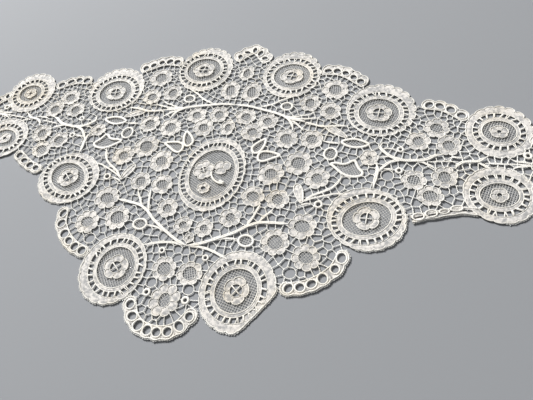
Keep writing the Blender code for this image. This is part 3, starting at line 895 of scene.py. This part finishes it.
def cell_corners(free, silhouette, rng):
    """Corners of the cells round the seeds, and the pairs of them that share a side."""
    points = [Vector(p) for p in scattered(free, rng) + outside(silhouette)]
    found = delaunay_2d_cdt(points, [], [], 0, 1e-5)
    sites = np.array([tuple(v) for v in found[0]])
    faces = np.array([tuple(f) for f in found[2] if len(f) == 3])
    a, b, c = (sites[faces[:, k]] for k in range(3))

    def crossed(p, q, r, k):
        return p * (b[:, k] - c[:, k]) + q * (c[:, k] - a[:, k]) + r * (a[:, k] - b[:, k])
    twice = 2 * crossed(a[:, 0], b[:, 0], c[:, 0], 1)
    twice = np.where(np.abs(twice) < TINY, TINY, twice)
    squares = [(p ** 2).sum(1) for p in (a, b, c)]
    corners = np.stack([crossed(*squares, 1), -crossed(*squares, 0)], 1) / twice[:, None]
    sides = {}
    for number, face in enumerate(faces):
        for m, n in ((0, 1), (1, 2), (2, 0)):
            sides.setdefault(tuple(sorted((face[m], face[n]))), []).append(number)
    joins = np.array([pair for pair in sides.values() if len(pair) == 2])
    length = np.linalg.norm(corners[joins[:, 0]] - corners[joins[:, 1]], axis=1)
    return corners, joins[length < LONGEST_BAR]


def merged_corners(corners, joins):
    """Corners with those at the ends of very short bars made one."""
    parent = np.arange(len(corners))

    def root(k):
        while parent[k] != k:
            k = parent[k]
        return k
    for m, n in joins:
        if np.linalg.norm(corners[m] - corners[n]) < SHORT_BAR:
            parent[root(m)] = root(n)
    roots = np.array([root(k) for k in range(len(corners))])
    merged = np.zeros_like(corners)
    np.add.at(merged, roots, corners)
    merged /= np.maximum(np.bincount(roots, minlength=len(corners)), 1)[:, None]
    pairs = {tuple(sorted((roots[m], roots[n]))) for m, n in joins if roots[m] != roots[n]}
    return merged, sorted(pairs)


def net_bars(free, silhouette, rng):
    """Bars between cells of about NET_SPACING, as (start, end) pairs clipped to the open ground."""
    corners, pairs = merged_corners(*cell_corners(free, silhouette, rng))
    bars = []
    for m, n in pairs:
        start, end = corners[m], corners[n]
        size = np.linalg.norm(end - start)
        steps = max(3, int(size / 0.2))
        t = np.linspace(0, 1, steps)
        line = start + (end - start) * t[:, None]
        for first, last in runs_of(free.at(line[:, 0], line[:, 1])):
            low = max(t[first] - (BAR_TUCK / size if first else 0), 0)
            high = min(t[last - 1] + (BAR_TUCK / size if last < steps else 0), 1)
            if (high - low) * size > LEAST_BAR:
                bars.append((start + (end - start) * low, start + (end - start) * high))
    return bars


def bar(work, start, end):
    """Two threads twisted round each other, with a slight bow."""
    size = float(np.linalg.norm(end - start))
    radius = BAR_RADIUS * (1.32 + 0.12 * np.tanh((start[1] - 10) / 30))
    radius = radius * work.random.uniform(0.85, 1.2)
    t = np.linspace(0, 1, max(4, int(size * 2.2) + 1))
    across = np.array([-(end - start)[1], (end - start)[0]]) / size
    bow = work.random.normal(0, 0.03) * size
    line = start + (end - start) * t[:, None] + across * (bow * np.sin(np.pi * t))[:, None]
    twist = t * size * TURN / BAR_TWIST + work.random.uniform(0, TURN)
    swell = radius * (1 + 0.55 * np.abs(2 * t - 1) ** 3)
    off = radius * 0.85
    for half in (0, math.pi):
        path = line + across * (off * np.cos(twist + half))[:, None]
        work.tube(path, BAR_HEIGHT + off * np.sin(twist + half), swell, THREAD, sides=4)


# ---- materials

class Material:
    """A material with shorthand for its nodes and links."""

    def __init__(self, name):
        self.made = bpy.data.materials.new(name)
        self.made.use_nodes = True
        self.tree = self.made.node_tree

    def put(self, node, inputs):
        """Sets inputs of a node, each to a value or to the output of another node."""
        for key, value in inputs.items():
            if isinstance(value, bpy.types.NodeSocket):
                self.tree.links.new(value, node.inputs[key])
            else:
                node.inputs[key].default_value = value

    def shade(self, **inputs):
        """Sets inputs of the shader; an underscore stands for a space in a name."""
        shader = self.tree.nodes["Principled BSDF"]
        self.put(shader, {key.replace("_", " "): value for key, value in inputs.items()})

    def node(self, kind, inputs, **settings):
        made = self.tree.nodes.new("ShaderNode" + kind)
        for key, value in settings.items():
            setattr(made, key, value)
        self.put(made, inputs)
        return made.outputs

    def calc(self, operation, *inputs):
        return self.node("Math", dict(enumerate(inputs)), operation=operation)[0]

    def noise(self, place, scale, detail):
        inputs = {"Vector": place, "Scale": scale, "Detail": detail}
        return self.node("TexNoise", inputs)["Fac"]


def aged(m, place):
    """How yellowed the thread is: in faint patches, and more about the far left medallion."""
    middle = (AGED_PLACE[0] * MM, AGED_PLACE[1] * MM, 0.0)
    away = m.node("VectorMath", {0: place, 1: middle}, operation="DISTANCE")["Value"]
    near = m.calc("SUBTRACT", 1.0, m.calc("DIVIDE", away, AGED_REACH * MM))
    stain = m.calc("MULTIPLY", m.calc("MAXIMUM", near, 0.0), 0.45)
    patch = m.calc("SUBTRACT", m.noise(place, 38.0, 3.0), 0.52)
    patch = m.calc("MULTIPLY", m.calc("MAXIMUM", patch, 0.0), 1.6)
    total = m.calc("ADD", m.calc("ADD", stain, patch), 0.04)
    return m.calc("MINIMUM", total, 0.8)


def linen(name, light, shade, twist, patches, relief, roughness):
    """Linen thread; its map runs along the thread in x and round it in y, in millimetres."""
    m = Material(name)
    place = m.node("TexCoord", {})["Object"]
    thread_map = m.node("UVMap", {}, uv_map="threads")[0]
    u, v, _ = m.node("SeparateXYZ", {0: thread_map})
    if twist:
        lay = m.calc("ADD", m.calc("MULTIPLY", u, TURN / TWIST_PITCH),
                     m.calc("MULTIPLY", v, TURN / TWIST_AROUND))
        wave = m.calc("SINE", lay)
    else:
        warp, weft = (m.calc("SINE", m.calc("MULTIPLY", way, TURN / WEAVE_PITCH))
                      for way in (u, v))
        wave = m.calc("MULTIPLY", warp, weft)
    fuzz = m.noise(place, 2600.0, 2.0)
    height = m.calc("ADD", m.calc("MULTIPLY", wave, 0.5), m.calc("MULTIPLY", fuzz, 0.6))
    bump = m.node("Bump", {"Strength": relief, "Distance": 0.1 * MM, "Height": height})
    small = m.calc("SUBTRACT", m.noise(place, 620.0, 2.0), 0.5)
    tone = m.calc("ADD", m.noise(place, 60.0, 3.0), m.calc("MULTIPLY", small, patches))
    # the twist or weave wave that raises the bump also lightens the ridges and darkens the grooves:
    # painted shade on the thread's relief, added to the thread's own uneven tone from the noise
    tone = m.calc("ADD", tone, m.calc("MULTIPLY", wave, 0.14))
    tones = m.node("ValToRGB", {"Fac": tone})["Color"]
    stops = tones.node.color_ramp.elements
    for stop, position, color in zip(stops, (0.15, 0.75), (shade, light)):
        stop.position = position
        stop.color = (*color, 1.0)
    tint = m.node("Mix", {0: aged(m, place), 6: tones, 7: YELLOWED},
                  data_type="RGBA", blend_type="MULTIPLY")
    m.shade(Base_Color=tint[2], Normal=bump["Normal"], Roughness=roughness,
            Sheen_Weight=0.2, Sheen_Roughness=0.5)
    return m.made


# in the order of CLOTH, CORD, THREAD and MESH: name, light and dark tone, whether twisted,
# small patches, relief and roughness
LINENS = [linen(*row) for row in (
    ("cloth_stitch", (0.71, 0.68, 0.645), (0.41, 0.405, 0.40), False, 2.8, 0.5, 0.85),
    ("corded_edge", (0.86, 0.84, 0.80), (0.74, 0.71, 0.65), True, 0.8, 0.6, 0.75),
    ("fine_thread", (0.88, 0.87, 0.84), (0.74, 0.725, 0.69), True, 0.8, 0.4, 0.8),
    ("woven_mesh", (0.76, 0.745, 0.72), (0.60, 0.59, 0.56), True, 0.8, 0.4, 0.85))]


# ---- pieces

def linked(name, data):
    """A new object that is in the scene."""
    made = bpy.data.objects.new(name, data)
    bpy.context.scene.collection.objects.link(made)
    return made


def lift(points):
    """The slight waves of cloth that lies on a surface."""
    x, y = points[:, 0], points[:, 1]
    wave = (np.sin(x / 19 + 0.6) * np.sin(y / 23 + 1.1) + 0.6 * np.sin(x / 11 - y / 15 + 2.0)
            + 0.5 * np.sin(x / 31 + y / 9))
    return 0.1 * (wave + 2.1)


def finished(work, name, nodes, sheet=False):
    points = np.concatenate(work.points)
    points[:, 2] = np.maximum(points[:, 2] + lift(points), LOWEST)
    faces = np.concatenate(work.faces)
    mesh = bpy.data.meshes.new(name)
    mesh.vertices.add(len(points))
    mesh.vertices.foreach_set("co", (points * MM).ravel())
    mesh.loops.add(faces.size)
    mesh.loops.foreach_set("vertex_index", faces.ravel())
    mesh.polygons.add(len(faces))
    mesh.polygons.foreach_set("loop_start", np.arange(len(faces)) * 4)
    mesh.polygons.foreach_set("material_index", np.concatenate(work.kinds))
    mesh.polygons.foreach_set("use_smooth", np.ones(len(faces), bool))
    mesh.uv_layers.new(name="threads").data.foreach_set("uv", np.concatenate(work.maps).ravel())
    mesh.update(calc_edges=True)
    for lace in LINENS:
        mesh.materials.append(lace)
    piece = linked(name, mesh)
    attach(piece, "root")
    if nodes:
        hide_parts(*nodes)
    if sheet:
        size = points.max(0) - points.min(0)
        flat = (float(size[0]) * MM, float(size[1]) * MM)
        a, b, c, d = np.moveaxis(points[faces], 1, 0)
        surface = np.linalg.norm(np.cross(c - a, d - b), axis=1)
        # threads and cloth show two sides, and a face is half the product of its diagonals
        area = float(surface.sum()) / 4 * MM * MM
        area = min(max(area, 0.3 * flat[0] * flat[1]), flat[0] * flat[1])
    return piece


def both(rows):
    """Rows that begin with x, for the right half and for the left."""
    return [(x * sign, *rest) for x, *rest in rows for sign in SIDES.values()]


def both_turned(rows):
    """The same for rows that end with an angle."""
    return [half for row in rows for half in (row, (-row[0], *row[1:-1], 180 - row[-1]))]


def all_flowers():
    return [*FLOWER_SINGLES, *both_turned(FLOWER_PAIRS), *both([END_FLOWER])]


def all_rings():
    return [*both(RING_PAIRS), *LOW_RINGS]


def all_gaps():
    return [(x * sign + sway, *size) for x, *size, sway in GAP_PAIRS for sign in SIDES.values()]


def all_mesh_leaves():
    return [[(x * sign, y) for x, y in outline]
            for outline in MESH_LEAVES for sign in SIDES.values()]


def all_borders():
    """Every border by its name, with its rings where they lie."""
    borders = {b.name + "_" + side: b._replace(rings=mirrored(b.rings, side))
               for side in SIDES for b in BORDERS}
    return {**borders, "top_point": TOP_POINT, "bottom_point": BOTTOM_POINT}


def all_medallions():
    """Every medallion with the name and the sign of its side."""
    return [(CENTRE, "", 1.0),
            *((m, side, sign) for m in MEDALLIONS for side, sign in SIDES.items())]


def open_ground():
    """Where the net's bars may run, which is the ground less its motifs, and the whole lace."""
    middle = {m.name: (m.x, m.y) for m in MEDALLIONS}
    half = [middle["top_inner"]]
    following = ("top_outer", "top_arm", "bottom_arm", "bottom_outer", "bottom_inner")
    for b, name in zip(BORDERS, following):
        half += [*b.rings, middle[name]]
    ground, taken = Map(), Map()
    ground.polygon([*half, *BOTTOM_POINT.rings, *mirrored(half, "left"), *TOP_POINT.rings])
    for m, side, _ in all_medallions():
        x, y, half_w, half_h = medallion_box(m.name, side)
        taken.ellipse(x, y, half_w - 0.2, half_h - 0.2)
    for b in all_borders().values():
        taken.line(smooth(b.rings, 0.8), b.back + 0.1)
    for row in all_flowers():
        taken.flower(row)
    for outline in all_mesh_leaves():
        edge = smooth(outline, closed=True)
        taken.polygon(edge)
        taken.line(edge, LEAF_RIM)
    for *row, angle in both_turned(CLOTH_LEAVES):
        taken.ellipse(*row, math.radians(angle))
    for row in both(BERRY_PAIRS):
        taken.ellipse(*row)
    for x, y, hole, thick in all_rings():
        taken.line([(x, y)], hole + 2 * thick)
    for x, y, w, h in all_gaps():
        taken.ellipse(x, y, w + 0.4, h + 0.4)
    for group in STEM_ROUTES.values():
        for width, route in group:
            for side in SIDES:
                taken.line(smooth(mirrored(route, side), 0.8), width / 2)
    return Map(ground.on & ~taken.on), Map(ground.on | taken.on)


def region(x):
    """The ground that a place belongs to."""
    if abs(x) < ARM_SEAM_X:
        return "centre"
    return ("arm_" if abs(x) < END_SEAM_X else "end_") + ("right" if x > 0 else "left")


def make_medallions():
    for number, (m, side, sign) in enumerate(all_medallions()):
        work = Work(100 + number)
        medallion(work, m, side, sign)
        node = medallion_node(m.name, side)
        finished(work, node + "_lace", [node], sheet=True)


def make_borders():
    for number, (name, b) in enumerate(all_borders().items()):
        work = Work(200 + number)
        if name == TURNED_BORDER:
            folded_border(work)
        else:
            border(work, b)
        finished(work, "border_" + name + "_lace", ["border_" + name], sheet=True)


def make_grounds():
    """The net with its flowers and leaves, and the stems that lie on it."""
    names = ("centre", "arm_left", "arm_right", "end_left", "end_right")
    motifs = {name: Work(300 + k) for k, name in enumerate(names)}
    # the bars of the middle, and its leaves and small rings, are pieces of their own
    nets = {**motifs, "centre": Work(400)}
    leaves = Work(401)
    for start, end in net_bars(*open_ground(), np.random.default_rng(NET_SEED)):
        bar(nets[region((start[0] + end[0]) / 2)], start, end)
    for row in all_flowers():
        flower(motifs[region(row[0])], row)
    for outline in all_mesh_leaves():
        mesh_leaf(leaves, outline)
    for row in both_turned(CLOTH_LEAVES):
        cloth_leaf(leaves, row)
    for row in both(BERRY_PAIRS):
        berry(leaves, *row)
    for row in all_rings():
        small_ring({**motifs, "centre": leaves}[region(row[0])], *row)
    for row in all_gaps():
        gap_ring(nets[region(row[0])], *row)
    stems = {}
    for group, routes in STEM_ROUTES.items():
        for side in SIDES:
            name = group if group != "arm" else "arm_" + side
            work = stems.setdefault(name, Work(500 + len(stems)))
            for width, route in routes:
                stem(work, width, mirrored(route, side))
    made = {name: finished(work, "stem_" + name + "_lace", ["stem_" + name])
            for name, work in stems.items()}
    net = finished(nets["centre"], "net_centre", [])
    leaf_piece = finished(leaves, "leaves_and_berries", [])
    for name, work in motifs.items():
        finished(work, "flowers_" + name, ["ground_" + name], sheet=True)


# ---- studio

def make_studio():
    """Floor, soft lights and a dim world."""
    bpy.ops.mesh.primitive_plane_add(size=40.0, location=(0, 0, 0))
    floor = bpy.context.object
    floor.name = "floor"
    paper = Material("floor_paper")
    paper.shade(Base_Color=(0.325, 0.33, 0.34, 1.0), Roughness=0.9)
    floor.data.materials.append(paper.made)
    for name, place, size, power in (("key", (-1.5, 1.2, 1.6), 0.7, 72.0),
                                     ("fill", (1.3, -1.0, 1.9), 1.6, 10.0)):
        lamp = bpy.data.lights.new(name, "AREA")
        lamp.size = size
        lamp.energy = power
        light = linked(name, lamp)
        light.location = place
        light.rotation_euler = (-Vector(place)).to_track_quat("-Z", "Y").to_euler()
    world = bpy.data.worlds.new("studio")
    world.use_nodes = True
    sky = world.node_tree.nodes["Background"].inputs
    sky["Color"].default_value = (0.9, 0.95, 1.0, 1.0)
    sky["Strength"].default_value = 0.14
    scene = bpy.context.scene
    scene.world = world
    scene.view_settings.view_transform = "Standard"
    scene.view_settings.look = "High Contrast"


def make_camera():
    """The camera looks down by its pitch, along its heading, and is rolled about its view."""
    pose = (Matrix.Rotation(-CAMERA_HEADING, 4, "Z")
            @ Matrix.Rotation(math.pi / 2 - CAMERA_PITCH, 4, "X")
            @ Matrix.Rotation(CAMERA_ROLL, 4, "Z"))
    pose.translation = Vector((*CAMERA_FOOT, CAMERA_HEIGHT)) * MM
    camera = bpy.data.cameras.new("camera")
    camera.sensor_width = SENSOR_WIDTH
    camera.lens = FOCAL_PIXELS / PHOTO_WIDTH * SENSOR_WIDTH
    camera.clip_start = 0.01
    eye = linked("camera", camera)
    eye.matrix_world = pose
    bpy.context.scene.camera = eye


make_studio()
make_camera()
make_medallions()
make_borders()
make_grounds()
